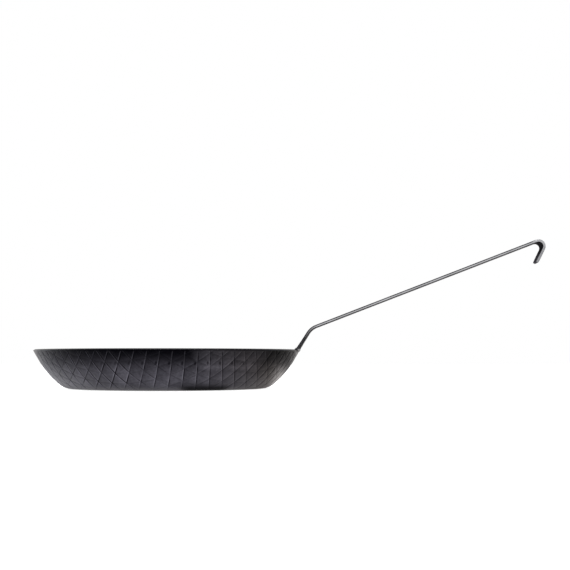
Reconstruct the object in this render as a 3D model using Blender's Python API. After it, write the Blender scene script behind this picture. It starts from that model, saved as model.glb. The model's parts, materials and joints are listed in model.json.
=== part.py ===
"""Long-handled iron frying pan: flared bowl, strap handle with a hanging hook, butt-welded at the rim.

Frame: metres, +Z up. The origin is the centre of the underside of the base, and the
handle points along +X. Run with: blender --background --python part.py
"""

import math

import bmesh
import bpy
from mathutils import Vector

# ---- driving dimensions: bowl ---------------------------------------------------------------
RIM_RADIUS = 0.140            # outer edge of the lip
BOWL_HEIGHT = 0.0398          # underside of the base to the outer edge of the lip
WALL = 0.0025                 # sheet thickness of the bowl
HEEL_RADIUS = 0.0215          # outer fillet between the base and the wall
HEEL_TURN = math.radians(41.0)
BELLY_RADIUS = 0.0995         # long outer curve of the wall
WALL_SLOPE = math.radians(59.75)   # slope of the straight stretch below the lip
BOWL_SEGMENTS = 96
HEEL_STEPS = 7
BELLY_STEPS = 6

# ---- driving dimensions: handle -------------------------------------------------------------
STRAP = WALL + 0.0001         # thickness of the strap, which meets the lip face to face
NECK_LENGTH = 0.0257          # lip to the corner of the neck bend, along the strap's outer face
NECK_BEND_RADIUS = 0.0165     # outer face of the strap at the neck bend
GRIP_LENGTH = 0.2694          # corner of the neck bend to the corner of the hook bend
GRIP_SLOPE = math.radians(21.0)
HOOK_RADIUS = 0.0046          # inside of the hook
HOOK_LEAN = math.radians(26.0)     # the tail leans back from the vertical towards the bowl
TAIL_LENGTH = 0.015           # straight tail past the hook bend
ROOT_WIDTH = 0.037
NECK_WIDTH = 0.024
END_WIDTH = 0.026
FLARE_POWER = 1.7             # how quickly the root narrows to the neck
STRAP_CHAMFER = 0.0005
END_CORNER = 0.004            # corner radius of the tail's end, seen flat
ACROSS_STEPS = 12
STRAIGHT_STEPS = 6
BEND_STEPS = 10
HOOK_STEPS = 16
CORNER_STEPS = 4

# ---- driving dimensions: weld ---------------------------------------------------------------
FIT_GAP = 0.0003              # clearance between pieces that touch
BEAD_WIDTH = 0.0034
INNER_BEAD_HEIGHT = 0.0009
OUTER_BEAD_HEIGHT = 0.0006
BEAD_OVERRUN = 0.0012         # how far a bead runs past each edge of the root
BEAD_STEPS = 28
BEAD_END_STEPS = 4            # stations over which a bead's ends round off
BEAD_END = 0.25               # what is left of the bead's section at its very ends
DOME_STEPS = 6

IRON_COLOUR = (0.020, 0.019, 0.019, 1.0)
STRAP_COLOUR = (0.050, 0.050, 0.052, 1.0)
WELD_COLOUR = (0.070, 0.068, 0.066, 1.0)


def clear_scene():
    """Remove whatever objects the file opened with."""
    for obj in list(bpy.data.objects):
        bpy.data.objects.remove(obj, do_unlink=True)


def make_material(name, colour, roughness, metallic):
    material = bpy.data.materials.new(name)
    material.use_nodes = True
    shader = material.node_tree.nodes["Principled BSDF"]
    shader.inputs["Base Color"].default_value = colour
    shader.inputs["Roughness"].default_value = roughness
    shader.inputs["Metallic"].default_value = metallic
    return material


def add_object(name, bm, material, smooth_angle=30.0):
    """Turn a bmesh into a named, shaded object at the origin."""
    bmesh.ops.recalc_face_normals(bm, faces=bm.faces)
    mesh = bpy.data.meshes.new(name)
    bm.to_mesh(mesh)
    bm.free()
    mesh.shade_smooth()
    mesh.set_sharp_from_angle(angle=math.radians(smooth_angle))
    mesh.materials.append(material)
    obj = bpy.data.objects.new(name, mesh)
    bpy.context.scene.collection.objects.link(obj)
    return obj


# ---- bowl -----------------------------------------------------------------------------------

def wall_line():
    """Outer face of the bowl from the base to the lip, as (run, height, slope) from the heel."""
    points = []
    for step in range(HEEL_STEPS + 1):
        turn = HEEL_TURN * step / HEEL_STEPS
        points.append((HEEL_RADIUS * math.sin(turn), HEEL_RADIUS * (1 - math.cos(turn)), turn))
    run, height, _ = points[-1]
    for step in range(1, BELLY_STEPS + 1):
        turn = HEEL_TURN + (WALL_SLOPE - HEEL_TURN) * step / BELLY_STEPS
        points.append((
            run + BELLY_RADIUS * (math.sin(turn) - math.sin(HEEL_TURN)),
            height + BELLY_RADIUS * (math.cos(HEEL_TURN) - math.cos(turn)),
            turn,
        ))
    run, height, _ = points[-1]
    rise = BOWL_HEIGHT - height
    points.append((run + rise / math.tan(WALL_SLOPE), BOWL_HEIGHT, WALL_SLOPE))
    return points


def bowl_profile():
    """Closed half-section of the bowl: up the outside, over the lip, down the inside."""
    line = wall_line()
    base_radius = RIM_RADIUS - line[-1][0]
    outer = [(base_radius + run, height) for run, height, _ in line]
    inner = [
        (base_radius + run - WALL * math.sin(turn), height + WALL * math.cos(turn))
        for run, height, turn in line
    ]
    return outer + inner[::-1]


def build_bowl(material):
    """Turn the half-section about the axis; both ends close on the axis."""
    section = bowl_profile()
    bm = bmesh.new()
    rings = []
    for radius, height in section:
        ring = []
        for step in range(BOWL_SEGMENTS):
            angle = math.tau * step / BOWL_SEGMENTS
            ring.append(bm.verts.new((radius * math.cos(angle), radius * math.sin(angle), height)))
        rings.append(ring)
    for lower, upper in zip(rings, rings[1:]):
        for step in range(BOWL_SEGMENTS):
            follow = (step + 1) % BOWL_SEGMENTS
            bm.faces.new((lower[step], lower[follow], upper[follow], upper[step]))
    bm.faces.new(rings[0][::-1])
    bm.faces.new(rings[-1])
    return add_object("bowl", bm, material)


# ---- handle ---------------------------------------------------------------------------------

def heading(angle):
    """Unit vector in the handle's upright plane, as (along X, up Z)."""
    return Vector((math.cos(angle), math.sin(angle)))


def lip_corner():
    """Outer edge of the lip in the handle's upright plane."""
    return Vector((RIM_RADIUS, BOWL_HEIGHT))


def strap_line():
    """Outer face of the strap, root to tail, as (point, slope) in the upright plane."""
    neck_corner = lip_corner() + heading(WALL_SLOPE) * NECK_LENGTH
    hook_corner = neck_corner + heading(GRIP_SLOPE) * GRIP_LENGTH
    tail_slope = -math.pi / 2 - HOOK_LEAN
    stations = [(lip_corner() + heading(WALL_SLOPE) * FIT_GAP, WALL_SLOPE)]

    neck_turn = WALL_SLOPE - GRIP_SLOPE
    reach = NECK_BEND_RADIUS * math.tan(neck_turn / 2)
    bend_start = neck_corner - heading(WALL_SLOPE) * reach
    straight = (bend_start - stations[0][0]).length
    for step in range(1, STRAIGHT_STEPS):
        climb = heading(WALL_SLOPE) * (straight * step / STRAIGHT_STEPS)
        stations.append((stations[0][0] + climb, WALL_SLOPE))
    centre = bend_start + heading(WALL_SLOPE - math.pi / 2) * NECK_BEND_RADIUS
    for step in range(BEND_STEPS + 1):
        slope = WALL_SLOPE - neck_turn * step / BEND_STEPS
        stations.append((centre + heading(slope + math.pi / 2) * NECK_BEND_RADIUS, slope))

    hook_turn = GRIP_SLOPE - tail_slope
    back = (HOOK_RADIUS + STRAP) * math.tan(hook_turn / 2)
    lift = heading(GRIP_SLOPE + math.pi / 2) * STRAP
    top_start = hook_corner + lift - heading(GRIP_SLOPE) * back
    hook_centre = top_start - heading(GRIP_SLOPE + math.pi / 2) * (HOOK_RADIUS + STRAP)
    grip_start = stations[-1][0]
    grip_end = hook_centre + heading(GRIP_SLOPE + math.pi / 2) * HOOK_RADIUS
    for step in range(1, STRAIGHT_STEPS):
        stations.append((grip_start.lerp(grip_end, step / STRAIGHT_STEPS), GRIP_SLOPE))
    for step in range(HOOK_STEPS + 1):
        slope = GRIP_SLOPE - hook_turn * step / HOOK_STEPS
        stations.append((hook_centre + heading(slope + math.pi / 2) * HOOK_RADIUS, slope))
    tail_start = stations[-1][0]
    for step in range(CORNER_STEPS + 1):
        slide = END_CORNER * math.sin(step / CORNER_STEPS * math.pi / 2)
        fall = heading(tail_slope) * (TAIL_LENGTH - END_CORNER + slide)
        stations.append((tail_start + fall, tail_slope))
    return stations


def strap_lengths(stations):
    lengths = [0.0]
    for (here, _), (there, _) in zip(stations, stations[1:]):
        lengths.append(lengths[-1] + (there - here).length)
    return lengths


def strap_width(length, total):
    """Flared root, narrow neck, slow widening to the hook, rounded corners at the tail."""
    flare = max(0.0, 1.0 - length / NECK_LENGTH) ** FLARE_POWER
    width = NECK_WIDTH + (END_WIDTH - NECK_WIDTH) * min(1.0, length / GRIP_LENGTH)
    width += (ROOT_WIDTH - NECK_WIDTH) * flare
    left = total - length
    if left < END_CORNER:
        inset = END_CORNER - math.sqrt(max(0.0, END_CORNER ** 2 - (END_CORNER - left) ** 2))
        width -= 2 * min(inset, END_CORNER - STRAP_CHAMFER)
    return width


def root_sag(length, across):
    """The root follows the round lip and the strap is flat by the middle of the neck bend."""
    share = max(0.0, 1.0 - length / NECK_LENGTH)
    share = share * share * (3 - 2 * share)
    return share * (RIM_RADIUS - math.sqrt(RIM_RADIUS ** 2 - across ** 2))


def strap_section(width):
    """Closed outline across the strap as (across, depth) with chamfered corners."""
    half = width / 2
    inside = half - STRAP_CHAMFER
    outline = [(-half, STRAP_CHAMFER)]
    for step in range(ACROSS_STEPS + 1):
        outline.append((-inside + 2 * inside * step / ACROSS_STEPS, 0.0))
    outline.append((half, STRAP_CHAMFER))
    outline.append((half, STRAP - STRAP_CHAMFER))
    for step in range(ACROSS_STEPS + 1):
        outline.append((inside - 2 * inside * step / ACROSS_STEPS, STRAP))
    outline.append((-half, STRAP - STRAP_CHAMFER))
    return outline


def build_handle(material):
    stations = strap_line()
    lengths = strap_lengths(stations)
    bm = bmesh.new()
    rings = []
    for (point, slope), length in zip(stations, lengths):
        normal = heading(slope + math.pi / 2)
        ring = []
        for across, depth in strap_section(strap_width(length, lengths[-1])):
            place = point + normal * depth
            ring.append(bm.verts.new((place.x - root_sag(length, across), across, place.y)))
        rings.append(ring)
    size = len(rings[0])
    for near, far in zip(rings, rings[1:]):
        for step in range(size):
            follow = (step + 1) % size
            bm.faces.new((near[step], near[follow], far[follow], far[step]))
    for ring in (rings[0], rings[-1]):
        close_end(bm, ring)
    return add_object("handle", bm, material)


def close_end(bm, ring):
    """Fill a strap's end with a ladder of quads between its two faces."""
    size = len(ring)
    outer = ring[0:size // 2]
    inner = ring[size // 2:][::-1]
    for step in range(len(outer) - 1):
        bm.faces.new((outer[step], outer[step + 1], inner[step + 1], inner[step]))


# ---- weld -----------------------------------------------------------------------------------

def build_bead(name, height, inside, material):
    """Low domed bead along the joint between lip and root, on one face of the sheet."""
    up_wall = heading(WALL_SLOPE)
    outward = heading(WALL_SLOPE - math.pi / 2)
    joint = lip_corner() + up_wall * (FIT_GAP / 2)
    if inside:
        foot = joint - outward * (max(WALL, STRAP) + FIT_GAP)
        away = -outward
    else:
        foot = joint + outward * FIT_GAP
        away = outward
    half_sweep = (ROOT_WIDTH / 2 + BEAD_OVERRUN) / RIM_RADIUS
    end_share = BEAD_END_STEPS / BEAD_STEPS
    turns = [math.pi * step / DOME_STEPS for step in range(DOME_STEPS + 1)]
    dome = [(math.cos(turn) / 2, math.sin(turn)) for turn in turns]
    bm = bmesh.new()
    rings = []
    for step in range(BEAD_STEPS + 1):
        share = step / BEAD_STEPS
        to_end = min(share, 1 - share) / end_share
        fullness = BEAD_END + (1 - BEAD_END) * math.sin(min(1.0, to_end) * math.pi / 2)
        angle = half_sweep * (2 * share - 1)
        ring = []
        for along, rise in dome:
            place = foot + up_wall * (BEAD_WIDTH * fullness * along)
            place = place + away * (height * fullness * rise)
            corner = (place.x * math.cos(angle), place.x * math.sin(angle), place.y)
            ring.append(bm.verts.new(corner))
        rings.append(ring)
    size = len(rings[0])
    for near, far in zip(rings, rings[1:]):
        for step in range(size):
            follow = (step + 1) % size
            bm.faces.new((near[step], near[follow], far[follow], far[step]))
    bm.faces.new(rings[0])
    bm.faces.new(rings[-1][::-1])
    return add_object(name, bm, material)


def main():
    clear_scene()
    iron = make_material("blackened_iron", IRON_COLOUR, 0.42, 0.9)
    strap = make_material("forged_strap", STRAP_COLOUR, 0.45, 0.9)
    weld = make_material("weld_metal", WELD_COLOUR, 0.4, 0.9)
    build_bowl(iron)
    build_handle(strap)
    build_bead("weld_bead_inner", INNER_BEAD_HEIGHT, True, weld)
    build_bead("weld_bead_outer", OUTER_BEAD_HEIGHT, False, weld)


main()
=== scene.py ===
"""Iron frying pan with a scored, flared bowl and a hooked strap handle.

The bowl, the strap and the weld beads each start as a flat blank, and a node tree then
forms, bends or lays that blank along the arcs of the real piece.
"""

import json
import math
from functools import partial, partialmethod, reduce
from itertools import accumulate

import bmesh
import bpy
from bpy.props import FloatProperty, FloatVectorProperty, IntProperty, PointerProperty
from mathutils import Euler, Matrix, Vector

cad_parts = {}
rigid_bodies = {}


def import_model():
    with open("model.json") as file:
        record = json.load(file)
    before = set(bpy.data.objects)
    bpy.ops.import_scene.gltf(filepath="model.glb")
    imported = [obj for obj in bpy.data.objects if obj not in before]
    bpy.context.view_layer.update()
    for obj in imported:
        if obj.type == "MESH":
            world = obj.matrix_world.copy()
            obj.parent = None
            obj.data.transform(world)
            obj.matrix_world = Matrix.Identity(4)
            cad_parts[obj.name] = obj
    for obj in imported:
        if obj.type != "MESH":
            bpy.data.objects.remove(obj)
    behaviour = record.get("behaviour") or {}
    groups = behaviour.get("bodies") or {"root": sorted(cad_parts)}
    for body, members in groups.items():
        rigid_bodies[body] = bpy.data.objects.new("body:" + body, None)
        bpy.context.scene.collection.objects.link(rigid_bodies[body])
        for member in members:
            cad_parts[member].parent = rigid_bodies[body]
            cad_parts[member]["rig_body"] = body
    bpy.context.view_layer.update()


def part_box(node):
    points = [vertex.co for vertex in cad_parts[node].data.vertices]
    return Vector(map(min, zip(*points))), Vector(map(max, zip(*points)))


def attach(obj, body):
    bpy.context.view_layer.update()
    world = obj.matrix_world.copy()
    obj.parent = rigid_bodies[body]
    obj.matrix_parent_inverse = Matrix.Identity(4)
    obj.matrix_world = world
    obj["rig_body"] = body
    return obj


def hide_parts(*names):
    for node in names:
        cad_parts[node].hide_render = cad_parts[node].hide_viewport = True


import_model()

bl_info = {
    "name": "Hooked Iron Frying Pan",
    "version": (1, 0, 0),
    "blender": (4, 5, 0),
    "location": "3D View > Sidebar > Cookware",
    "description": "Builds a scored iron frying pan with a strap handle that ends in a hook",
    "category": "Add Mesh",
}

BOWL_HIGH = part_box("bowl")[1]


def length(name, description, default):
    """A size in metres."""
    return FloatProperty(
        name=name, description=description, default=default, min=0.0,
        precision=4, subtype="DISTANCE", unit="LENGTH",
    )


def slant(name, description, degrees):
    """An angle, given here in degrees."""
    return FloatProperty(
        name=name, description=description, default=math.radians(degrees), subtype="ANGLE",
    )


def colour(name, description, default):
    return FloatVectorProperty(
        name=name, description=description, default=default, size=3,
        min=0.0, max=1.0, subtype="COLOR",
    )


def share(name, description, default):
    return FloatProperty(name=name, description=description, default=default, min=0.0, max=1.0)


# ---- sizes and finishes a user would change ----

class BowlSizes(bpy.types.PropertyGroup):
    rim_radius: length("Rim radius", "Centre to the lip's outer edge", BOWL_HIGH.x)
    wall: length("Wall", "Thickness of the sheet", 0.0025)
    lip_height: length("Lip height", "Underside of the base to the lip's outer edge", 0.0398)
    heel_radius: length("Heel radius", "Outer fillet between base and wall", 0.0215)
    heel_turn: slant("Heel turn", "How far the heel turns up", 41.0)
    belly_radius: length("Belly radius", "Long outer curve of the wall", 0.0995)
    wall_slope: slant("Wall slope", "Slope of the wall at the lip", 59.75)
    lip_round: length("Lip round", "Rounding of the lip's two edges", 0.0004)
    score_spacing: length("Score spacing", "Distance between neighbouring scored lines", 0.01335)
    score_angle: slant("Score angle", "Direction of the first family of lines", 46.44)
    score_start: FloatVectorProperty(
        name="Score start", description="A crossing of three lines near the centre",
        default=(0.0003, 0.00175, 0.0), size=3, precision=5, subtype="TRANSLATION",
    )
    score_width: length("Score width", "Full width of a scored line", 0.0016)
    score_depth: length("Score depth", "Depth of a scored line", 0.0003)
    cross_lines: share("Cross lines", "Depth left in lines that run round the wall", 0.12)
    pillow: length("Pillow", "How far a cell's edges lie below its middle", 0.00012)
    steps_round: IntProperty(name="Steps round", description="Facets round the bowl", default=480)


class StrapSizes(bpy.types.PropertyGroup):
    thickness: length("Thickness", "Thickness of the strap", 0.0026)
    neck_length: length("Neck length", "Lip to the corner of the neck bend", 0.0257)
    neck_radius: length("Neck bend", "Radius of the outer face at the neck", 0.0165)
    grip_length: length("Grip length", "Corner of the neck to the corner of the hook", 0.26934)
    grip_slope: slant("Grip slope", "Slope of the long straight", 21.0)
    hook_radius: length("Hook radius", "Inside radius of the hook", 0.0046)
    hook_lean: slant("Hook lean", "How far the tail leans back from the vertical", 26.0)
    tail_length: length("Tail length", "Straight tail past the hook", 0.015)
    root_width: length("Root width", "Width at the lip", 0.037)
    neck_width: length("Neck width", "Narrowest width", 0.024)
    end_width: length("End width", "Width at the hook", 0.026)
    flare_power: FloatProperty(
        name="Flare", description="How quickly the root narrows", default=1.7, min=1.0, max=4.0,
    )
    edge_round: length("Edge round", "Rounding of the top's long edges", 0.0011)
    under_round: length("Under round", "Rounding of the underside's long edges", 0.0004)
    end_corner: length("End corner", "Corner radius of the tail, seen flat", 0.004)


class WeldSizes(bpy.types.PropertyGroup):
    gap: length("Root gap", "Gap between lip and root that the weld fills", 0.0003)
    width: length("Bead width", "Width of a bead", 0.0034)
    inner_height: length("Inner height", "How proud the inner bead stands", 0.0009)
    outer_height: length("Outer height", "How proud the dressed outer bead stands", 0.0006)
    overrun: length("Overrun", "How far a bead runs past the root", 0.0012)
    ripple_pitch: length("Ripple pitch", "Distance between ripples", 0.0013)


class Finishes(bpy.types.PropertyGroup):
    oxide: colour("Black oxide", "Thick scale near the lip", (0.0034, 0.0031, 0.0052))
    worn: colour("Worn oxide", "Thin scale low on the wall", (0.046, 0.0445, 0.053))
    bare: colour("Ground edge", "Bare ground iron", (0.74, 0.74, 0.76))
    seasoning: colour("Seasoning", "Baked oil on the cooking surface", (0.030, 0.026, 0.024))
    edge_wear: share("Edge wear", "Wear along raised edges", 0.5)


class StageSizes(bpy.types.PropertyGroup):
    yaw: slant("Camera yaw", "Camera's turn about the upright axis", 3.63)
    pitch: slant("Camera pitch", "Camera's tilt above the level", 3.98)
    aside: length("Camera aside", "Camera's place along its own right", 0.1244)
    distance: length("Camera distance", "Camera to the bowl's axis", 1.14868)
    height: length("Camera height", "Camera above the floor", 0.02989)
    lens: FloatProperty(name="Lens", description="Focal length in mm", default=68.07)
    floor_size: length("Floor", "Side of the floor", 12.0)


class PanSettings(bpy.types.PropertyGroup):
    bowl: PointerProperty(type=BowlSizes)
    strap: PointerProperty(type=StrapSizes)
    weld: PointerProperty(type=WeldSizes)
    finish: PointerProperty(type=Finishes)
    stage: PointerProperty(type=StageSizes)


# ---- node helpers ----

class Net:
    """Adds nodes to a tree and joins them, so that a rule reads as one line a step."""

    def __init__(self, tree):
        self.tree = tree

    def node(self, kind, **settings):
        made = self.tree.nodes.new(kind)
        for key, value in settings.items():
            setattr(made, key, value)
        return made

    def feed(self, socket, value):
        if isinstance(value, bpy.types.NodeSocket):
            self.tree.links.new(value, socket)
        else:
            socket.default_value = value

    def fill(self, node, inputs):
        """Feeds a node's inputs by name and gives the node."""
        for label, value in inputs.items():
            self.feed(node.inputs[label], value)
        return node

    def step(self, kind, *values, **settings):
        """Adds a node, feeds its inputs in order and gives its first output."""
        made = self.node(kind, **settings)
        for socket, value in zip(made.inputs, values):
            self.feed(socket, value)
        return made.outputs[0]

    def math(self, operation, *values):
        return self.step("ShaderNodeMath", *values, operation=operation)

    take = partialmethod(math, "SUBTRACT")
    over = partialmethod(math, "DIVIDE")
    power = partialmethod(math, "POWER")
    root = partialmethod(math, "SQRT")
    sine = partialmethod(math, "SINE")
    cosine = partialmethod(math, "COSINE")
    most = partialmethod(math, "MAXIMUM")
    least = partialmethod(math, "MINIMUM")

    def add(self, *values):
        return reduce(partial(self.math, "ADD"), values)

    def times(self, *values):
        return reduce(partial(self.math, "MULTIPLY"), values)

    def between(self, value, low, high):
        return self.step("ShaderNodeClamp", value, low, high)

    def ramp(self, value, start, end, low=0.0, high=1.0, kind="LINEAR"):
        """Straight change from low to high as value goes from start to end."""
        span = (value, start, end, low, high)
        return self.step("ShaderNodeMapRange", *span, interpolation_type=kind)

    def ease(self, *span):
        """The same change, smooth at both ends."""
        return self.ramp(*span, kind="SMOOTHSTEP")

    def blend(self, factor, first, second):
        """Straight change from first to second as the factor goes from 0 to 1."""
        return self.ramp(factor, 0.0, 1.0, first, second)

    def split(self, vector):
        made = self.node("ShaderNodeSeparateXYZ")
        self.feed(made.inputs[0], vector)
        return made.outputs

    def join(self, x, y, z):
        return self.step("ShaderNodeCombineXYZ", x, y, z)

    def toward(self, x, y, way):
        """How far the place x, y lies along a unit direction."""
        return self.add(self.times(x, way[0]), self.times(y, way[1]))

    def mix(self, factor, first, second):
        """Mix of two colours, each a socket or its red, green and blue."""
        made = self.node("ShaderNodeMix", data_type="RGBA", clamp_factor=False)
        self.feed(made.inputs[0], factor)
        for number, tone in ((6, first), (7, second)):
            plain = not isinstance(tone, bpy.types.NodeSocket)
            self.feed(made.inputs[number], (*tone, 1.0) if plain else tone)
        return made.outputs[2]

    def noise(self, vector, scale, detail=2.0, roughness=0.5):
        look = {"Vector": vector, "Scale": scale, "Detail": detail, "Roughness": roughness}
        return self.fill(self.node("ShaderNodeTexNoise"), look).outputs["Fac"]


def add_sockets(tree, kind, labels, direction="INPUT"):
    """Adds sockets of one kind; labels may give each its default value."""
    for label in labels:
        socket = tree.interface.new_socket(
            name=label, in_out=direction, socket_type="NodeSocket" + kind,
        )
        if isinstance(labels, dict):
            socket.default_value = labels[label]


def bend(net, distance, start_slope, path):
    """Where a straight line ends up once it is bent along straights and arcs.

    path holds ("straight", length) and ("arc", radius, turn), a positive turn going up;
    the last straight is endless. Gives the run, the rise and the slope there.
    """
    run, rise, slope, spent = 0.0, 0.0, start_slope, 0.0
    for kind, *sizes in path:
        ahead = net.take(distance, spent)
        if kind == "straight":
            reach = net.between(ahead, 0.0, sizes[0])
            run = net.add(run, net.times(reach, net.cosine(slope)))
            rise = net.add(rise, net.times(reach, net.sine(slope)))
            spent = net.add(spent, sizes[0])
        else:
            radius, turn = sizes
            way = math.copysign(1.0, turn)
            reach = net.between(ahead, 0.0, net.times(radius, abs(turn)))
            turned = net.add(slope, net.times(net.over(reach, radius), way))
            wide = net.take(net.sine(turned), net.sine(slope))
            high = net.take(net.cosine(slope), net.cosine(turned))
            run = net.add(run, net.times(radius, way, wide))
            rise = net.add(rise, net.times(radius, way, high))
            spent = net.add(spent, net.times(radius, abs(turn)))
            slope = turned
    return run, rise, slope


def shape_tree(name, inputs):
    """A new geometry tree with a geometry in and out and one number input for each size."""
    tree = bpy.data.node_groups.new(name, "GeometryNodeTree")
    add_sockets(tree, "Geometry", ["Geometry"])
    add_sockets(tree, "Geometry", ["Geometry"], "OUTPUT")
    add_sockets(tree, "Float", inputs)
    net = Net(tree)
    given = net.node("NodeGroupInput").outputs
    place = net.node("GeometryNodeInputPosition").outputs[0]
    return tree, net, given, place


def finish_tree(net, geometry, position, marks, material):
    """Moves the points, stores the named marks, realizes and sets the material."""
    for name, value in marks.items():
        kind = "FLOAT_VECTOR" if getattr(value, "type", "") == "VECTOR" else "FLOAT"
        store = net.node("GeometryNodeStoreNamedAttribute", data_type=kind, domain="POINT")
        net.fill(store, {"Geometry": geometry, "Name": name, "Value": value})
        geometry = store.outputs[0]
    move = net.node("GeometryNodeSetPosition")
    net.fill(move, {"Geometry": geometry, "Position": position})
    real = net.step("GeometryNodeRealizeInstances", move.outputs[0])
    paint = net.node("GeometryNodeSetMaterial")
    net.fill(paint, {"Geometry": real, "Material": material})
    net.feed(net.node("NodeGroupOutput").inputs[0], paint.outputs[0])


def link(name, data):
    """A new object in the scene that shows the data."""
    made = bpy.data.objects.new(name, data)
    bpy.context.scene.collection.objects.link(made)
    return made


def shape_piece(name, blank, tree, sizes, material, sharp_degrees):
    """Runs a tree over a blank and returns the result as a plain mesh object."""
    flat = link(name + "_blank", blank)
    modifier = flat.modifiers.new("shape", "NODES")
    modifier.node_group = tree
    for item in tree.interface.items_tree:
        if item.item_type == "SOCKET" and item.in_out == "INPUT" and item.name in sizes:
            modifier[item.identifier] = float(sizes[item.name])
    shaped = flat.evaluated_get(bpy.context.evaluated_depsgraph_get())
    mesh = bpy.data.meshes.new_from_object(shaped)
    bpy.data.objects.remove(flat, do_unlink=True)
    bpy.data.meshes.remove(blank)
    mesh.name = name
    mesh.materials.clear()
    mesh.materials.append(material)
    mesh.shade_smooth()
    mesh.set_sharp_from_angle(angle=math.radians(sharp_degrees))
    return link(name, mesh)


def blank_mesh(name, bm, marks=None):
    """A bmesh as a mesh, faces out, with named point marks."""
    bmesh.ops.recalc_face_normals(bm, faces=bm.faces)
    bmesh.ops.triangulate(bm, faces=bm.faces)
    mesh = bpy.data.meshes.new(name)
    bm.to_mesh(mesh)
    bm.free()
    for label, values in (marks or {}).items():
        layer = mesh.attributes.new(label, "FLOAT", "POINT")
        layer.data.foreach_set("value", values)
    return mesh


# ---- bowl ----

WALL_STEP = 0.0021      # size of the blank's cells on the scored side of the wall
SNAP = 0.00004          # points nearer than this to a cut move onto it
LIP_STEPS = 3           # facets round each edge of the lip
INSIDE_STEPS = 18       # rings up the inside of the wall
BASE_RINGS = (0.75, 0.45, 0.15)             # parts of the radius, under the base
FLOOR_RINGS = (0.85, 0.65, 0.4, 0.15)       # and on the floor of the bowl


def bowl_path(sizes):
    """Radius of the base and of the whole blank, from the middle to the lip."""
    heel = sizes.heel_radius * sizes.heel_turn
    belly = sizes.belly_radius * (sizes.wall_slope - sizes.heel_turn)
    rise = sizes.lip_height
    rise -= sizes.heel_radius * (1 - math.cos(sizes.heel_turn))
    rise -= sizes.belly_radius * (math.cos(sizes.heel_turn) - math.cos(sizes.wall_slope))
    straight = rise / math.sin(sizes.wall_slope)
    run = sizes.heel_radius * math.sin(sizes.heel_turn)
    run += sizes.belly_radius * (math.sin(sizes.wall_slope) - math.sin(sizes.heel_turn))
    run += straight * math.cos(sizes.wall_slope)
    base = sizes.rim_radius - run
    return base, base + heel + belly + straight


def ring(bm, turns, radius, height):
    return [bm.verts.new((radius * math.cos(a), radius * math.sin(a), height)) for a in turns]


def bridge(bm, first, second):
    """Quads between two closed rings of the same size."""
    count = len(first)
    for step in range(count):
        follow = (step + 1) % count
        bm.faces.new((first[step], first[follow], second[follow], second[step]))


def loft(bm, rings, caps=()):
    """Skin over a row of rings, with a face over each ring in caps."""
    for first, second in zip(rings, rings[1:]):
        bridge(bm, first, second)
    for cap in caps:
        bm.faces.new(cap)


def score_families(sizes):
    """Each family of lines as the way along it, the way across it and its first offset."""
    start = sizes.score_start
    families = []
    for family in range(3):
        angle = sizes.score_angle + family * math.pi / 3
        across, up = math.cos(angle), math.sin(angle)
        families.append(((across, up), (-up, across), start[1] * across - start[0] * up))
    return families


def cut_scores(bm, sizes, reach):
    """Splits the blank along the middle and both shoulders of every scored line."""
    half, spacing = sizes.score_width / 2, sizes.score_spacing
    count = math.ceil(reach / spacing) + 1
    for _, across, first in score_families(sizes):
        normal = Vector((*across, 0.0))
        offsets = [first + step * spacing for step in range(-count, count + 1)]
        for offset in offsets:
            if abs(offset) < reach:
                for side in (-half, 0.0, half):
                    cut_line(bm, normal * (offset + side), normal)


def cut_line(bm, place, normal):
    """Splits the faces near a line that runs through a place, square to the normal."""
    parts = set()
    for face in bm.faces:
        if abs((face.calc_center_median() - place).dot(normal)) < WALL_STEP * 2:
            parts.update((face, *face.edges, *face.verts))
    bmesh.ops.bisect_plane(bm, geom=list(parts), dist=SNAP, plane_co=place, plane_no=normal)


def bowl_blank(sizes):
    """Flat disc of the sheet's thickness, finely divided where the wall is scored."""
    base, whole = bowl_path(sizes)
    scored_from, edge = base - WALL_STEP, whole - sizes.lip_round
    count = round((edge - scored_from) / WALL_STEP)
    turns = [math.tau * step / sizes.steps_round for step in range(sizes.steps_round)]

    bm = bmesh.new()
    rings = [
        ring(bm, turns, scored_from + (edge - scored_from) * step / count, 0.0)
        for step in range(count + 1)
    ]
    loft(bm, rings)
    cut_scores(bm, sizes, edge)

    rim, hub = [], []
    for vert in bm.verts:
        if vert.is_boundary:
            side = rim if vert.co.length > base else hub
            side.append(vert)
    rim.sort(key=turn_of)
    hub.sort(key=turn_of)
    close(bm, hub, [(scored_from * part, 0.0) for part in BASE_RINGS])
    close(bm, rim, inside_stops(sizes))
    return blank_mesh("bowl_blank", bm)


def turn_of(vert):
    return math.atan2(vert.co.y, vert.co.x)


def close(bm, last, stops):
    """Joins rings at the given radii and heights to the last one and ends them in a fan."""
    turns = [turn_of(vert) for vert in last]
    for radius, height in stops:
        inner = ring(bm, turns, radius, height)
        bridge(bm, last, inner)
        last = inner
    centre = bm.verts.new((0.0, 0.0, height))
    for step, vert in enumerate(last):
        bm.faces.new((vert, last[(step + 1) % len(last)], centre))


def inside_stops(sizes):
    """Radii and heights of the rounded lip, the inside of the wall and the bowl's floor."""
    base, whole = bowl_path(sizes)
    rounding = sizes.lip_round
    turns = [step / LIP_STEPS * math.pi / 2 for step in range(LIP_STEPS + 1)]
    rises = [(rounding * (1 - math.sin(turn)), rounding * (1 - math.cos(turn))) for turn in turns]
    stops = [(whole - high, low) for high, low in rises[1:]]
    stops += [(whole - low, sizes.wall - high) for high, low in rises]
    edge = whole - rounding
    for step in range(1, INSIDE_STEPS + 1):
        stops.append((edge + (base - edge) * step / INSIDE_STEPS, sizes.wall))
    return stops + [(base * part, sizes.wall) for part in FLOOR_RINGS]


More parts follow.
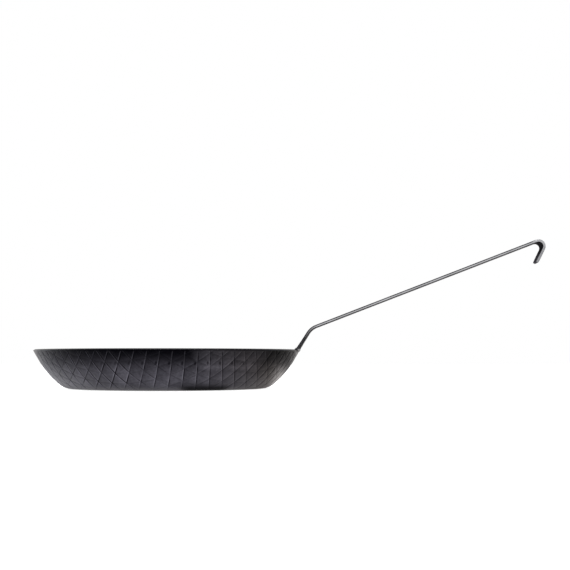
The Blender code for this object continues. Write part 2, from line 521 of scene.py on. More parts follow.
def bowl_inputs(sizes):
    base, whole = bowl_path(sizes)
    return {
        "Base Radius": base,
        "Heel Radius": sizes.heel_radius,
        "Belly Radius": sizes.belly_radius,
        "Wall": sizes.wall,
        "Score Spacing": sizes.score_spacing,
        "Score Width": sizes.score_width,
        "Score Depth": sizes.score_depth,
        "Pillow": sizes.pillow,
        "Cross Lines": sizes.cross_lines,
        "Fade Length": 0.016,
        "Lip Margin": 0.0012,
        "Whole Length": whole,
    }


def bowl_tree(sizes, material):
    """Presses the scores into the blank and forms it along base, heel, belly and wall."""
    tree, net, given, place = shape_tree("form_bowl", bowl_inputs(sizes))
    x, y, depth = net.split(place)
    flat = net.node("ShaderNodeVectorMath", operation="LENGTH")
    net.feed(flat.inputs[0], net.join(x, y, 0.0))
    reach = net.most(flat.outputs["Value"], 1e-7)

    half, spacing = net.over(given["Score Width"], 2.0), given["Score Spacing"]
    groove, nearest = 0.0, spacing
    for way, across, offset in score_families(sizes):
        aside = net.take(net.toward(x, y, across), offset)
        apart = net.math("PINGPONG", aside, net.over(spacing, 2.0))
        steep = net.power(net.over(net.toward(x, y, way), reach), 2.0)
        kept = net.blend(steep, given["Cross Lines"], 1.0)
        cut = net.times(net.ramp(apart, 0.0, half, 1.0, 0.0), kept)
        groove = net.most(groove, cut)
        nearest = net.least(nearest, apart)
    hollow = net.power(net.ramp(nearest, 0.0, net.over(spacing, 3.0), 1.0, 0.0), 2.0)
    base, whole, margin = given["Base Radius"], given["Whole Length"], given["Lip Margin"]
    strength = net.ease(reach, base, net.add(base, given["Fade Length"]))
    lip_start, lip_end = net.take(whole, net.times(margin, 2.0)), net.take(whole, margin)
    strength = net.times(strength, net.ease(reach, lip_start, lip_end, 1.0, 0.0))
    inside = net.between(net.over(depth, given["Wall"]), 0.0, 1.0)
    strength = net.times(strength, net.take(1.0, inside))
    press = net.add(
        net.times(groove, given["Score Depth"]), net.times(hollow, given["Pillow"]),
    )
    sunk = net.add(depth, net.times(press, strength))

    run, rise, slope = bend(net, reach, 0.0, [
        ("straight", base),
        ("arc", given["Heel Radius"], sizes.heel_turn),
        ("arc", given["Belly Radius"], sizes.wall_slope - sizes.heel_turn),
        ("straight", 1.0),
    ])
    run = net.take(run, net.times(sunk, net.sine(slope)))
    rise = net.add(rise, net.times(sunk, net.cosine(slope)))
    stretch = net.over(run, reach)
    position = net.join(net.times(x, stretch), net.times(y, stretch), rise)
    finish_tree(net, given["Geometry"], position, {"flat": place, "inside": inside}, material)
    return tree


def build_bowl(settings):
    sizes = settings.bowl
    material = bowl_iron(settings)
    tree = bowl_tree(sizes, material)
    piece = shape_piece("bowl_shell", bowl_blank(sizes), tree, bowl_inputs(sizes), material, 50.0)
    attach(piece, "root")
    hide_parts("bowl")


# ---- strap ----

SPACINGS = (0.0009, 0.0007, 0.003, 0.0004, 0.001)   # along leg, neck, grip, hook and tail
TAIL_STEPS = 8          # cuts round the corners of the tail
EDGE_STEPS = 4          # facets round a long edge
FACE_STEPS = 12         # strips across a face
SIDE_STEPS = 3          # strips up a side
LEAST_ROUND = 0.00005   # of a long edge, where the bevel leaves none
END_BEVEL = 0.00025     # bevel round the cut end of the tail
END_GROUND = 0.4        # how far that bevel counts as ground


def strap_path(bowl, strap):
    """Straights and arcs of the strap's outer face, and where each of them ends."""
    neck_turn = bowl.wall_slope - strap.grip_slope
    hook_turn = strap.grip_slope + math.pi / 2 + strap.hook_lean
    neck_cut = strap.neck_radius * math.tan(neck_turn / 2)
    hook_cut = (strap.hook_radius + strap.thickness) * math.tan(hook_turn / 2)
    leg = strap.neck_length - neck_cut
    grip = strap.grip_length - neck_cut - hook_cut
    neck, hook = strap.neck_radius * neck_turn, strap.hook_radius * hook_turn
    return {
        "leg": leg, "neck_turn": neck_turn, "grip": grip, "hook_turn": hook_turn,
        "ends": list(accumulate((leg, neck, grip, hook, strap.tail_length))),
    }


def spaced(start, end, step):
    count = max(1, round((end - start) / step))
    return [start + (end - start) * k / count for k in range(count)]


def strap_stops(path, strap, gap):
    """Places along the strap, close together where it bends."""
    *bounds, end = gap, *path["ends"]
    bounds.append(end - strap.end_corner)
    stops = []
    for start, stop, step in zip(bounds, bounds[1:], SPACINGS):
        stops += spaced(start, stop, step)
    for step in range(TAIL_STEPS + 1):
        angle = step / TAIL_STEPS * math.pi / 2
        stops.append(end - strap.end_corner * (1 - math.sin(angle)))
    return stops, end


def strap_width(place, end, strap):
    flare = max(0.0, 1.0 - place / strap.neck_length) ** strap.flare_power
    width = strap.neck_width
    width += (strap.end_width - strap.neck_width) * min(1.0, place / strap.grip_length)
    width += (strap.root_width - strap.neck_width) * flare
    left = end - place
    if left < strap.end_corner:
        inset = strap.end_corner
        inset -= math.sqrt(max(0.0, strap.end_corner ** 2 - (strap.end_corner - left) ** 2))
        width -= 2 * min(inset, strap.end_corner - strap.edge_round)
    return width


def strap_section(width, strap, inset):
    """Rounded outline across the strap as (across, depth, how far onto the ground edge)."""
    half = width / 2 - inset
    over = max(strap.edge_round - inset, LEAST_ROUND)
    under = max(strap.under_round - inset, LEAST_ROUND)
    low, high = inset, strap.thickness - inset
    corners = [
        (-half + under, low + under, math.pi, under),
        (half - under, low + under, math.pi * 1.5, under),
        (half - over, high - over, 0.0, over),
        (-half + over, high - over, math.pi / 2, over),
    ]
    outline = []
    for number, (across, depth, start, rounding) in enumerate(corners):
        for step in range(EDGE_STEPS + 1):
            angle = start + step / EDGE_STEPS * math.pi / 2
            outline.append((
                across + rounding * math.cos(angle), depth + rounding * math.sin(angle),
                abs(math.cos(angle)),
            ))
        axis = number % 2       # 0 runs across a face, 1 up or down a side
        here, there = outline[-1][:2], corners[(number + 1) % 4][axis]
        count = (FACE_STEPS, SIDE_STEPS)[axis]
        for step in range(1, count):
            spot = list(here)
            spot[axis] += (there - here[axis]) * step / count
            outline.append((*spot, float(axis)))
    return outline


def strap_blank(bowl, strap, gap):
    """Flat strap, cut to its outline and with rounded edges; x runs from the lip to the tail."""
    stops, end = strap_stops(strap_path(bowl, strap), strap, gap)
    bm = bmesh.new()
    rings, ground = [], []
    for place in stops:
        outline = strap_section(strap_width(place, end, strap), strap, 0.0)
        rings.append([bm.verts.new((place, across, depth)) for across, depth, _ in outline])
        ground += [edge for _, _, edge in outline]
    outline = strap_section(strap_width(end, end, strap), strap, END_BEVEL)
    rings.append([bm.verts.new((end + END_BEVEL, across, depth)) for across, depth, _ in outline])
    ground += [edge * END_GROUND for _, _, edge in outline]
    loft(bm, rings, (rings[0], rings[-1]))
    return blank_mesh("strap_blank", bm, {"ground": ground})


def strap_inputs(bowl, strap):
    path = strap_path(bowl, strap)
    return {
        "Lip Radius": bowl.rim_radius,
        "Lip Height": bowl.lip_height,
        "Leg Length": path["leg"],
        "Neck Radius": strap.neck_radius,
        "Grip Length": path["grip"],
        "Hook Radius": strap.hook_radius,
        "Sag Length": strap.neck_length,
    }


def strap_tree(bowl, strap, material):
    """Bends the strap at neck and hook and dishes its root to the round lip."""
    tree, net, given, place = shape_tree("bend_strap", strap_inputs(bowl, strap))
    path = strap_path(bowl, strap)
    x, y, depth = net.split(place)
    run, rise, slope = bend(net, x, bowl.wall_slope, [
        ("straight", given["Leg Length"]),
        ("arc", given["Neck Radius"], -path["neck_turn"]),
        ("straight", given["Grip Length"]),
        ("arc", given["Hook Radius"], -path["hook_turn"]),
        ("straight", 1.0),
    ])
    run = net.take(run, net.times(depth, net.sine(slope)))
    rise = net.add(rise, net.times(depth, net.cosine(slope)))
    radius = given["Lip Radius"]
    chord = net.root(net.take(net.times(radius, radius), net.times(y, y)))
    dished = net.ease(x, 0.0, given["Sag Length"], 1.0, 0.0)
    run = net.take(run, net.times(dished, net.take(radius, chord)))
    position = net.join(net.add(run, radius), y, net.add(rise, given["Lip Height"]))
    finish_tree(net, given["Geometry"], position, {"along": x, "deep": depth}, material)
    return tree


def build_strap(settings):
    bowl, strap = settings.bowl, settings.strap
    material = strap_iron(settings)
    tree = strap_tree(bowl, strap, material)
    blank = strap_blank(bowl, strap, settings.weld.gap)
    piece = shape_piece("handle_strap", blank, tree, strap_inputs(bowl, strap), material, 40.0)
    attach(piece, "root")
    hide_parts("handle")


# ---- weld ----

STATIONS, AROUND = 160, 14      # cuts along a bead and round it
BLUNT = 0.08                    # part of its full thickness left at a bead's very end
INNER_RIPPLE, OUTER_RIPPLE = 0.12, 0.03     # depths of the ripples, of the bead's height
RIPPLE_BOW = 1.6                # how far the ripples bow


def bead_blank(long, weld, height):
    """Straight closed bar of a bead's size, with round ends; ripples come from the tree."""
    bm = bmesh.new()
    rings = []
    for step in range(1, STATIONS):
        way = 2 * step / STATIONS - 1
        end = long / 2 - abs(way) * long / 2
        full = max(math.sqrt(min(1.0, end / weld.width * 2)), BLUNT)
        rings.append([
            bm.verts.new((
                way * long / 2,
                math.cos(math.tau * k / AROUND) * weld.width / 2 * full,
                math.sin(math.tau * k / AROUND) * height * full,
            ))
            for k in range(AROUND)
        ])
    loft(bm, rings, (rings[0], rings[-1]))
    return blank_mesh("bead_blank", bm)


def bead_tree(settings, inside, material):
    """Lays a bead round the lip, with ripples that bow along its run."""
    bowl, weld = settings.bowl, settings.weld
    inputs = {
        "Lip Radius": bowl.rim_radius, "Lip Height": bowl.lip_height,
        "Ripple Pitch": weld.ripple_pitch,
        "Ripple Depth": INNER_RIPPLE if inside else OUTER_RIPPLE,
        "Bead Width": weld.width,
    }
    tree, net, given, place = shape_tree("lay_bead", inputs)
    x, y, z = net.split(place)
    out = Vector((math.sin(bowl.wall_slope), -math.cos(bowl.wall_slope)))
    along = Vector((math.cos(bowl.wall_slope), math.sin(bowl.wall_slope)))
    way = -1.0 if inside else 1.0
    foot = out * (-bowl.wall if inside else 0.0) + along * (weld.gap / 2)
    bow = net.power(net.over(y, given["Bead Width"]), 2.0)
    phase = net.add(x, net.times(bow, given["Bead Width"], RIPPLE_BOW))
    phase = net.over(phase, given["Ripple Pitch"])
    wave = net.math("ABSOLUTE", net.sine(net.times(phase, math.pi)))
    ripple = net.take(1.0, net.times(given["Ripple Depth"], net.take(1.0, wave)))
    lift = net.times(z, ripple, way)
    run = net.add(net.times(y, along.x), net.times(lift, out.x), foot.x)
    rise = net.add(net.times(y, along.y), net.times(lift, out.y), foot.y)
    radius = net.add(given["Lip Radius"], run)
    angle = net.over(x, given["Lip Radius"])
    position = net.join(
        net.times(radius, net.cosine(angle)),
        net.times(radius, net.sine(angle)),
        net.add(given["Lip Height"], rise),
    )
    finish_tree(net, given["Geometry"], position, {"ripple": wave}, material)
    return tree, inputs


def build_welds(settings):
    weld = settings.weld
    long = settings.strap.root_width + 2 * weld.overrun
    material = weld_iron(settings)
    for name, height, inside in (
        ("weld_bead_inner", weld.inner_height, True),
        ("weld_bead_outer", weld.outer_height, False),
    ):
        tree, inputs = bead_tree(settings, inside, material)
        blank = bead_blank(long, weld, height)
        piece = shape_piece(name + "_rippled", blank, tree, inputs, material, 60.0)
        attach(piece, "root")
        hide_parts(name)


# ---- materials ----

def new_material(name):
    """A new material without any clear shine: itself, its tree, its shader and the place."""
    material = bpy.data.materials.new(name)
    material.use_nodes = True
    net = Net(material.node_tree)
    shader = material.node_tree.nodes["Principled BSDF"]
    shader.inputs["Specular IOR Level"].default_value = 0.0
    place = net.node("ShaderNodeTexCoord").outputs["Object"]
    return material, net, shader, place


def shade_group(name, place, inputs, results):
    """A new shader group with a place, a number input for each size and number outputs."""
    tree = bpy.data.node_groups.new(name, "ShaderNodeTree")
    add_sockets(tree, "Vector", [place])
    add_sockets(tree, "Float", inputs)
    add_sockets(tree, "Float", results, "OUTPUT")
    net = Net(tree)
    given = net.node("NodeGroupInput").outputs
    return tree, net, given, net.node("NodeGroupOutput").inputs


def grain_group():
    """Mottle and fine grain of forged iron scale, and the height of its grain and pits."""
    tree = bpy.data.node_groups.get("forged_grain")
    if tree:
        return tree
    scales = {"Mottle Scale": 30.0, "Grain Scale": 1500.0}
    results = ("Mottle", "Grain", "Height")
    tree, net, given, out = shade_group("forged_grain", "Place", scales, results)
    mottle = net.noise(given["Place"], given["Mottle Scale"], 5.0, 0.6)
    net.feed(out["Mottle"], net.ease(mottle, 0.35, 0.68))
    grain = net.noise(given["Place"], given["Grain Scale"], 3.0, 0.65)
    net.feed(out["Grain"], grain)
    pits = net.noise(given["Place"], net.times(given["Grain Scale"], 0.28), 2.0, 0.7)
    pits = net.times(net.ease(pits, 0.62, 0.72), 0.8)
    net.feed(out["Height"], net.take(net.times(grain, 0.5), pits))
    return tree


def new_iron(name, mottle, grain):
    """An empty iron material: itself, its tree, its shader and what the grain gives."""
    material, net, shader, place = new_material(name)
    group = net.node("ShaderNodeGroup", node_tree=grain_group())
    net.fill(group, {"Place": place, "Mottle Scale": mottle, "Grain Scale": grain})
    return material, net, shader, group.outputs


def mark(net, name, output="Fac"):
    return net.node("ShaderNodeAttribute", attribute_name=name).outputs[output]


def finish_iron(net, shader, colour, metal, rough, height, depth):
    """Gives the shader its colour, metal and roughness, and bumps it by a height."""
    bumps = net.fill(net.node("ShaderNodeBump"), {"Distance": depth, "Height": height})
    net.fill(shader, {
        "Base Color": colour, "Metallic": metal, "Roughness": rough, "Normal": bumps.outputs[0],
    })


# Places beside a scored line, in parts of its width: its dark core (black oxide with painted
# shade in the groove), the burr that rises and falls on its far side, and the middle of the
# painted dark reflection.
CORE = (0.15, 0.5)
BURR_RISE, BURR_FALL = (0.35, 0.55), (0.7, 1.0)
SPOT_ASIDE = 1.8
SPOT_WIDE, SPOT_LONG = 0.0014, 0.0026   # half sizes of a painted dark reflection, across its line and up
SPOT_SPREAD = (0.5, 1.1)        # parts of those where it starts to fade and has gone
SPOT_BELOW_LIP = 0.0151         # from the lip to the middle of a painted dark reflection


def score_group(sizes):
    """Where a place on the flat blank lies among the scored lines.

    Line is the dark bottom of a line, the black oxide in the groove with painted shade where
    the groove's shadow falls, Burr the bright edge on one side of it, Facet Shade the painted
    shade that lightens the iron between two lines towards that edge as if lit from one side,
    Cell one random number for each of the triangles between the lines, Dark Reflection a
    painted dark reflection beside each line near the lip and Reach the distance from the
    middle of the blank.
    """
    inputs = {
        "Spacing": sizes.score_spacing, "Width": sizes.score_width,
        "Cross Lines": sizes.cross_lines,
        "Spot Reach": bowl_path(sizes)[1] - SPOT_BELOW_LIP,
    }
    results = ("Line", "Burr", "Facet Shade", "Cell", "Dark Reflection", "Reach")
    tree, net, given, out = shade_group("score_marks", "Flat", inputs, results)
    x, y, _ = net.split(given["Flat"])
    reach = net.root(net.add(net.times(x, x), net.times(y, y)))
    reach = net.most(reach, 1e-6)
    uneven = net.ease(net.noise(given["Flat"], 110.0, 2.0), 0.36, 0.6, 0.35, 1.0)
    spot_rise = net.over(net.take(reach, given["Spot Reach"]), SPOT_LONG)
    spot_rise = net.times(spot_rise, spot_rise)
    line, burr, lean, spot, weights, counts = 0.0, 0.0, 0.0, 0.0, 1e-6, []
    spacing, width = given["Spacing"], given["Width"]

    def beside(distance, parts, low=0.0, high=1.0):
        return net.ease(distance, *(net.times(width, part) for part in parts), low, high)

    for way, across, offset in score_families(sizes):
        counted = net.over(net.take(net.toward(x, y, across), offset), spacing)
        counts.append(net.math("FLOOR", counted))
        along = net.toward(x, y, way)
        side = net.math("SIGN", net.times(along, -1.0))
        past = net.math("FRACT", net.times(counted, side))
        beyond = net.times(past, spacing)
        nearest = net.least(beyond, net.take(spacing, beyond))
        kept = net.power(net.over(along, reach), 2.0)
        shown = net.blend(kept, given["Cross Lines"], 1.0)
        # dark core: black oxide in the groove, with painted shade where the groove's shadow falls
        core = beside(nearest, CORE, 1.0, 0.0)
        edge = net.times(beside(beyond, BURR_RISE), beside(beyond, BURR_FALL, 1.0, 0.0))
        line = net.most(line, net.times(core, shown))
        burr = net.most(burr, net.times(edge, kept, shown))
        weight = net.power(kept, 2.0)
        # painted reflection: a dark spot beside each line, near the lip
        aside = net.over(net.take(beyond, net.times(width, SPOT_ASIDE)), SPOT_WIDE)
        apart = net.root(net.add(net.times(aside, aside), spot_rise))
        dark = net.times(net.ease(apart, *SPOT_SPREAD, 1.0, 0.0), weight)
        spot = net.most(spot, dark)
        # painted facet shade: a ramp across each cell towards the burr of its line
        lean = net.add(lean, net.times(weight, net.take(1.0, past)))
        weights = net.add(weights, weight)
    cell = net.node("ShaderNodeTexWhiteNoise", noise_dimensions="3D")
    net.feed(cell.inputs["Vector"], net.join(*counts))
    line, burr = net.times(line, uneven), net.times(burr, uneven)
    lean, cell = net.over(lean, weights), cell.outputs["Value"]
    for socket, result in zip(out, (line, burr, lean, cell, spot, reach)):
        net.feed(socket, result)
    return tree


# A way is a unit direction seen from above, and its spread the cosines from it at which
# a change starts and is full. Parts are of the whole length from the middle to the lip.
# Painted highlight: a broad lighter patch high on the front right of the wall, standing in for
# the reflection of a soft light.
PAINTED_HIGHLIGHT_WAY, PAINTED_HIGHLIGHT_SPREAD = (0.616, -0.788), (0.93, 0.993)
PAINTED_HIGHLIGHT_PARTS = (0.81, 0.88)     # where the painted highlight starts and is full, up the wall
PAINTED_HIGHLIGHT_GAIN = 2.1
DEEP_WAY, DEEP_SPREAD = (-0.47, -0.883), (0.88, 0.99)
DEEP_CUT = 1.9                  # how much stronger the lines are there
SCALE_PARTS = (1.0, 0.85)       # where the wall is at its darkest, at the lip, and where it has lightened fully, lower down
LEVEL_FACET_SHADE, LEVEL_TONE = 0.42, 0.93         # values that leave the wall's tone as it is
FACET_SHADE_GAIN, CELL_FACET_SHADE, DENT_WEAR, BURR_WEAR = 0.7, 0.36, 1.5, 2.2
LINE_DARK, DARK_REFLECTION_STRENGTH = 0.85, 0.75
LIP_SHADE = 0.8                  # the lip's painted shade: its tone, of the scale's


def bowl_iron(settings):
    """Scored outside, smooth seasoned inside and a lip painted darker than the scale, as shade
    along its edge.
    """
    finish, sizes = settings.finish, settings.bowl
    material, net, shader, grain = new_iron("scored_black_iron", 34.0, 900.0)
    marks = net.node("ShaderNodeGroup", node_tree=score_group(sizes))
    flat = mark(net, "flat", "Vector")
    net.feed(marks.inputs["Flat"], flat)
    score = marks.outputs
    reach, inside = score["Reach"], mark(net, "inside")
    base, whole = bowl_path(sizes)
    pressed = net.times(
        net.ease(reach, base + 0.004, base + 0.02),
        net.ease(reach, whole - 0.003, whole - 0.001, 1.0, 0.0),
    )
    x, y, _ = net.split(flat)
    # painted highlight: the wall is lightened in one broad patch, as a soft light's reflection
    painted_highlight = net.times(
        net.ease(net.over(net.toward(x, y, PAINTED_HIGHLIGHT_WAY), reach), *PAINTED_HIGHLIGHT_SPREAD),
        net.ease(reach, *(whole * part for part in PAINTED_HIGHLIGHT_PARTS)),
    )
    # the wall is darker towards the lip and lighter lower down
    wear_and_painted_light = net.ease(reach, *(whole * part for part in SCALE_PARTS))
    wear_and_painted_light = net.most(wear_and_painted_light, net.times(painted_highlight, PAINTED_HIGHLIGHT_GAIN))
    wear_and_painted_light = net.times(wear_and_painted_light, net.add(0.72, net.times(grain["Mottle"], 0.4)))
    # painted facet shade: the iron between the lines lightens towards each line's burr, as if lit
    # from one side
    lean = net.times(net.take(score["Facet Shade"], LEVEL_FACET_SHADE), pressed, FACET_SHADE_GAIN)
    dents = net.times(net.noise(flat, 300.0, 4.0, 0.68), DENT_WEAR)
    # painted facet shade: each cell gets its own random tone, standing in for the light and shade
    # on tilted facets
    tone = net.add(net.times(score["Cell"], CELL_FACET_SHADE), dents)
    tone = net.add(1.0, net.times(net.take(tone, LEVEL_TONE), pressed))
    wear_and_painted_light = net.times(wear_and_painted_light, net.add(1.0, lean), tone)
    deeper = net.over(net.toward(x, y, DEEP_WAY), reach)
    deeper = net.ease(deeper, *DEEP_SPREAD, 1.0, DEEP_CUT)
    burr = net.times(score["Burr"], pressed, finish.edge_wear, deeper)
    wear_and_painted_light = net.add(wear_and_painted_light, net.times(burr, BURR_WEAR))
    # dark core of each line: the black oxide in the groove, and painted shade where the groove's
    # shadow falls
    line = net.least(net.times(score["Line"], pressed, deeper), 1.1)
    wear_and_painted_light = net.times(wear_and_painted_light, net.take(1.0, net.times(line, LINE_DARK)))
    # painted reflection: a dark spot beside each line near the lip
    wear_and_painted_light = net.times(wear_and_painted_light, net.take(1.0, net.times(score["Dark Reflection"], DARK_REFLECTION_STRENGTH)))
    outer = net.mix(wear_and_painted_light, finish.oxide, finish.worn)
    inner = net.mix(net.times(grain["Mottle"], 0.5), finish.seasoning, finish.worn)
    skin = net.mix(net.ease(inside, 0.0, 0.9), outer, inner)
    # painted shade: the lip's rounded edge is darker than the wall
    rim = net.ease(reach, whole - 0.0012, whole - 0.0004)
    lip = tuple(part * LIP_SHADE for part in finish.oxide)
    rough = net.add(0.33, net.times(grain["Grain"], 0.1), net.times(line, 0.25))
    finish_iron(net, shader, net.mix(rim, skin, lip), 1.0, rough, grain["Height"], 0.00004)
    return material


# Each pair holds a value for the straight part of the strap and one for its hook.
GROUND_FROM, GROUND_FULL = (0.965, 0.3), (0.998, 0.75)     # how far onto a long edge
MOTTLE_SHARE = (1.0, 0.3)
LEAST_METAL = (0.45, 0.1)
CROWN_DULL = 0.5                # bare metal left on top of the hook's bend
TURNED_DULL = 0.72              # and where the hook has turned down


def strap_iron(settings):
    """Scale on the faces, bare ground sides, a dark leg and a darker hook."""
    finish = settings.finish
    material, net, shader, grain = new_iron("strap_black_iron", 60.0, 900.0)
    _, _, hook, turned_end, end = strap_path(settings.bowl, settings.strap)["ends"]
    along, deep = mark(net, "along"), mark(net, "deep")
    hooked = net.ease(along, hook - 0.006, hook + 0.003)
    starts, full = net.blend(hooked, *GROUND_FROM), net.blend(hooked, *GROUND_FULL)
    ground = net.ease(mark(net, "ground"), starts, full)
    from_lip = net.ease(along, 0.012, 0.036, 0.08, 1.0)
    ground = net.times(ground, net.add(0.8, net.times(grain["Mottle"], 0.2)), from_lip)
    turned = net.ease(along, hook + 0.4 * (turned_end - hook), turned_end + 0.001)
    crown = net.ease(deep, 0.0015, 0.0024, 1.0, CROWN_DULL)
    dulled = net.times(net.blend(hooked, 1.0, crown), net.blend(turned, 1.0, TURNED_DULL))
    ground = net.times(ground, dulled)
    top = net.ease(deep, 0.0005, 0.002)
    shade = net.times(grain["Mottle"], net.add(0.15, net.times(top, 0.45)))
    shade = net.times(shade, net.blend(hooked, *MOTTLE_SHARE))
    shade = net.add(shade, net.ease(along, turned_end + 0.001, end - 0.003, 0.0, 1.2))
    face = net.mix(shade, finish.oxide, finish.worn)
    skin = net.mix(ground, face, finish.bare)
    metal = net.most(ground, net.blend(hooked, *LEAST_METAL))
    rough = net.add(0.52, net.times(grain["Grain"], 0.1), net.times(ground, -0.36))
    finish_iron(net, shader, skin, metal, rough, grain["Height"], 0.00003)
    return material


def weld_iron(settings):
    """Scale in the valleys of the ripples and duller bare metal on their crests."""
    finish = settings.finish
    material, net, shader, grain = new_iron("weld_scale", 120.0, 1500.0)
    crest = net.times(mark(net, "ripple"), net.add(0.6, net.times(grain["Mottle"], 0.8)))
    dull = tuple(0.2 * part for part in finish.bare)
    rough = net.add(0.35, net.times(grain["Grain"], 0.2))
    skin = net.mix(crest, finish.worn, dull)
    finish_iron(net, shader, skin, 1.0, rough, grain["Grain"], 0.00004)
    return material


# What the floor throws on the pan, by place: near it, further off and in the distance.
NEAR_LEFT, NEAR_MIDDLE = (1.05, 1.05, 1.1), (1.42, 1.40, 1.45)
NEAR_RIGHT, NEAR_RIGHT_REAR = (0.52, 0.46, 0.40), (2.4, 2.3, 2.2)
FAR_LEFT, FAR_MIDDLE = (0.56, 0.56, 0.60), (0.25, 0.245, 0.25)
FAR_RIGHT, FAR_RIGHT_REAR = (0.10, 0.09, 0.08), (0.2, 0.19, 0.18)
FAR_REAR = (0.95, 0.95, 1.0)
DISTANT_FRONT, DISTANT_REAR = (0.6, 0.6, 0.61), (1.7, 1.62, 1.6)
SHADED_WAY, SHADED_SPREAD = (0.5, -0.866), (0.94, 0.99)     # where the painted contact shadow reaches furthest
SEEN_FLOOR = (0.82, 0.82, 0.82)
DARK_FLOOR = (0.05, 0.05, 0.05)
PALE_FLOOR = ((0.74, 0.74, 0.74), (0.78, 0.78, 0.78))


def floor_paint():
    """White to look at; what it throws on the pan changes from place to place."""
    material, net, shader, place = new_material("pale_floor")
    x, y, _ = net.split(place)
    away = net.node("ShaderNodeVectorMath", operation="LENGTH")
    net.feed(away.inputs[0], place)
    reach = away.outputs["Value"]
    left = net.ease(x, -0.15, -0.02, 1.0, 0.0)
    right = net.ease(x, 0.02, 0.15)
    beside = net.mix(net.ease(y, -0.03, 0.04), NEAR_RIGHT, NEAR_RIGHT_REAR)
    near = net.mix(right, net.mix(left, NEAR_MIDDLE, NEAR_LEFT), beside)
    far = net.mix(right, net.mix(left, FAR_MIDDLE, FAR_LEFT), FAR_RIGHT)
    rear = net.mix(right, FAR_REAR, FAR_RIGHT_REAR)
    far = net.mix(net.ease(y, -0.1, 0.04), far, rear)
    distant = net.mix(net.ease(y, 0.05, 0.25), DISTANT_FRONT, DISTANT_REAR)
    far = net.mix(net.ease(reach, 0.2, 0.32), far, distant)
    thrown = net.mix(net.ease(reach, 0.125, 0.172), near, far)
    # painted contact shadow in the floor's glow round the foot of the pan, reaching furthest to
    # the front right
    facing = net.ease(net.over(net.toward(x, y, SHADED_WAY), reach), *SHADED_SPREAD)
    shaded = net.times(facing, net.ease(reach, 0.108, 0.118, 0.92, 0.0))
    contact_shadow = net.most(net.ease(reach, 0.1, 0.119, 0.65, 0.0), shaded)
    thrown = net.mix(contact_shadow, thrown, (0.0, 0.0, 0.0))
    seen = net.node("ShaderNodeLightPath").outputs["Is Camera Ray"]
    pale = net.mix(net.noise(place, 4.0, 3.0), *PALE_FLOOR)
    net.fill(shader, {
        "Base Color": net.mix(seen, DARK_FLOOR, pale), "Roughness": 0.9,
        "Emission Color": net.mix(seen, thrown, SEEN_FLOOR), "Emission Strength": 1.0,
    })
    return material


# ---- stage ----

FLOOR_DROP = 0.0002             # keeps the floor clear of the underside of the base
SKY_FRONT, SKY_TOP = 0.7, 0.45  # how bright the surroundings are there, to the pan
LAMP_TARGET = (0.0, 0.0, 0.03)
LAMPS = (
    # name, place, sides, power, tint
    ("left_panel", (-1.5, 0.35, 0.5), (0.9, 1.4), 18.0, (0.93, 0.96, 1.0)),
    ("right_panel", (1.6, 0.5, 0.45), (0.9, 1.2), 18.0, (1.0, 0.97, 0.94)),
    ("top_panel", (0.1, 0.1, 2.2), (2.2, 2.2), 60.0, (1.0, 1.0, 1.0)),
)


def build_floor(sizes):
    bm = bmesh.new()
    bmesh.ops.create_grid(bm, x_segments=1, y_segments=1, size=sizes.floor_size / 2)
    mesh = bpy.data.meshes.new("floor")
    bm.to_mesh(mesh)
    bm.free()
    mesh.materials.append(floor_paint())
    floor = link("floor", mesh)
    floor.location.z = -FLOOR_DROP


def build_world():
    """White to look at, and dimmer to the pan in front and overhead."""
    world = bpy.data.worlds.new("soft_box")
    bpy.context.scene.world = world
    world.use_nodes = True
    net = Net(world.node_tree)
    back = world.node_tree.nodes["Background"]
    _, y, z = net.split(net.node("ShaderNodeTexCoord").outputs["Generated"])
    behind = net.ramp(y, -1.0, 0.6, SKY_FRONT, 1.0)
    high = net.ramp(z, 0.1, 0.9, 1.0, SKY_TOP)
    seen = net.node("ShaderNodeLightPath").outputs["Is Camera Ray"]
    glow = net.times(net.times(behind, high), net.take(1.0, seen))
    net.feed(back.inputs["Strength"], net.add(glow, seen))
    back.inputs["Color"].default_value = (1.0, 1.0, 1.0, 1.0)


def add_lamp(name, place, sides, power, tint):
    lamp = bpy.data.lights.new(name, "AREA")
    lamp.shape = "RECTANGLE"
    lamp.size, lamp.size_y = sides
    lamp.energy = power
    lamp.color = tint
    panel = link(name, lamp)
    panel.location = place
    aim = (Vector(LAMP_TARGET) - Vector(place)).to_track_quat("-Z", "Y")
    panel.rotation_euler = aim.to_euler()


def build_camera(sizes):
    camera = bpy.data.cameras.new("camera")
    camera.sensor_width = 36.0
    camera.lens = sizes.lens
    camera.clip_start, camera.clip_end = 0.01, 50.0
    turn = Matrix.Rotation(sizes.yaw, 4, "Z")
    holder = link("camera", camera)
    holder.location = turn @ Vector((sizes.aside, -sizes.distance, sizes.height))
    holder.rotation_euler = Euler((math.pi / 2 + sizes.pitch, 0.0, sizes.yaw))
    bpy.context.scene.camera = holder


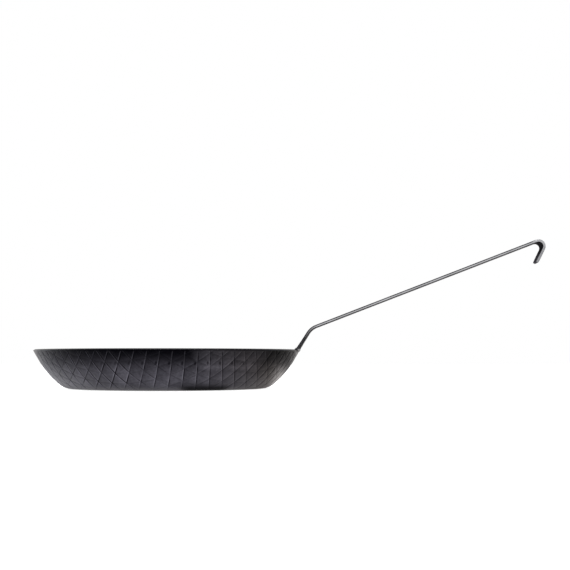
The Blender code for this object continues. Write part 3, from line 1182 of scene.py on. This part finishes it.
def build_stage(settings):
    build_floor(settings.stage)
    build_world()
    for lamp in LAMPS:
        add_lamp(*lamp)
    build_camera(settings.stage)
    bpy.context.scene.view_settings.view_transform = "Standard"


# ---- operators, panel and registration ----

class FormBowl(bpy.types.Operator):
    """Form the scored bowl from its flat blank"""

    bl_idname = "frying_pan.form_bowl"
    bl_label = "Form Bowl"

    def execute(self, context):
        build_bowl(context.scene.frying_pan)
        return {"FINISHED"}


class BendStrap(bpy.types.Operator):
    """Bend the strap handle and its hook"""

    bl_idname = "frying_pan.bend_strap"
    bl_label = "Bend Strap"

    def execute(self, context):
        build_strap(context.scene.frying_pan)
        return {"FINISHED"}


class LayWelds(bpy.types.Operator):
    """Lay the weld beads that join the strap to the lip"""

    bl_idname = "frying_pan.lay_welds"
    bl_label = "Lay Welds"

    def execute(self, context):
        build_welds(context.scene.frying_pan)
        return {"FINISHED"}


class SetStage(bpy.types.Operator):
    """Set the floor, the lights and the camera"""

    bl_idname = "frying_pan.set_stage"
    bl_label = "Set Stage"

    def execute(self, context):
        build_stage(context.scene.frying_pan)
        return {"FINISHED"}


class PanPanel(bpy.types.Panel):
    """Lists the steps that build the pan"""

    bl_idname = "VIEW3D_PT_frying_pan"
    bl_label = "Iron Frying Pan"
    bl_space_type = "VIEW_3D"
    bl_region_type = "UI"
    bl_category = "Cookware"

    def draw(self, context):
        for step in STEPS:
            self.layout.operator(step.bl_idname)


STEPS = (FormBowl, BendStrap, LayWelds, SetStage)
CLASSES = (BowlSizes, StrapSizes, WeldSizes, Finishes, StageSizes, PanSettings, *STEPS, PanPanel)


def register():
    for made in CLASSES:
        bpy.utils.register_class(made)
    bpy.types.Scene.frying_pan = PointerProperty(type=PanSettings)


def unregister():
    del bpy.types.Scene.frying_pan
    for made in reversed(CLASSES):
        bpy.utils.unregister_class(made)


def main():
    for obj in list(bpy.data.objects):
        if obj.name in ("Cube", "Light", "Camera") and "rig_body" not in obj:
            bpy.data.objects.remove(obj, do_unlink=True)
    register()
    for step in STEPS:
        group, action = step.bl_idname.split(".")
        getattr(getattr(bpy.ops, group), action)()


if __name__ == "__main__":
    main()
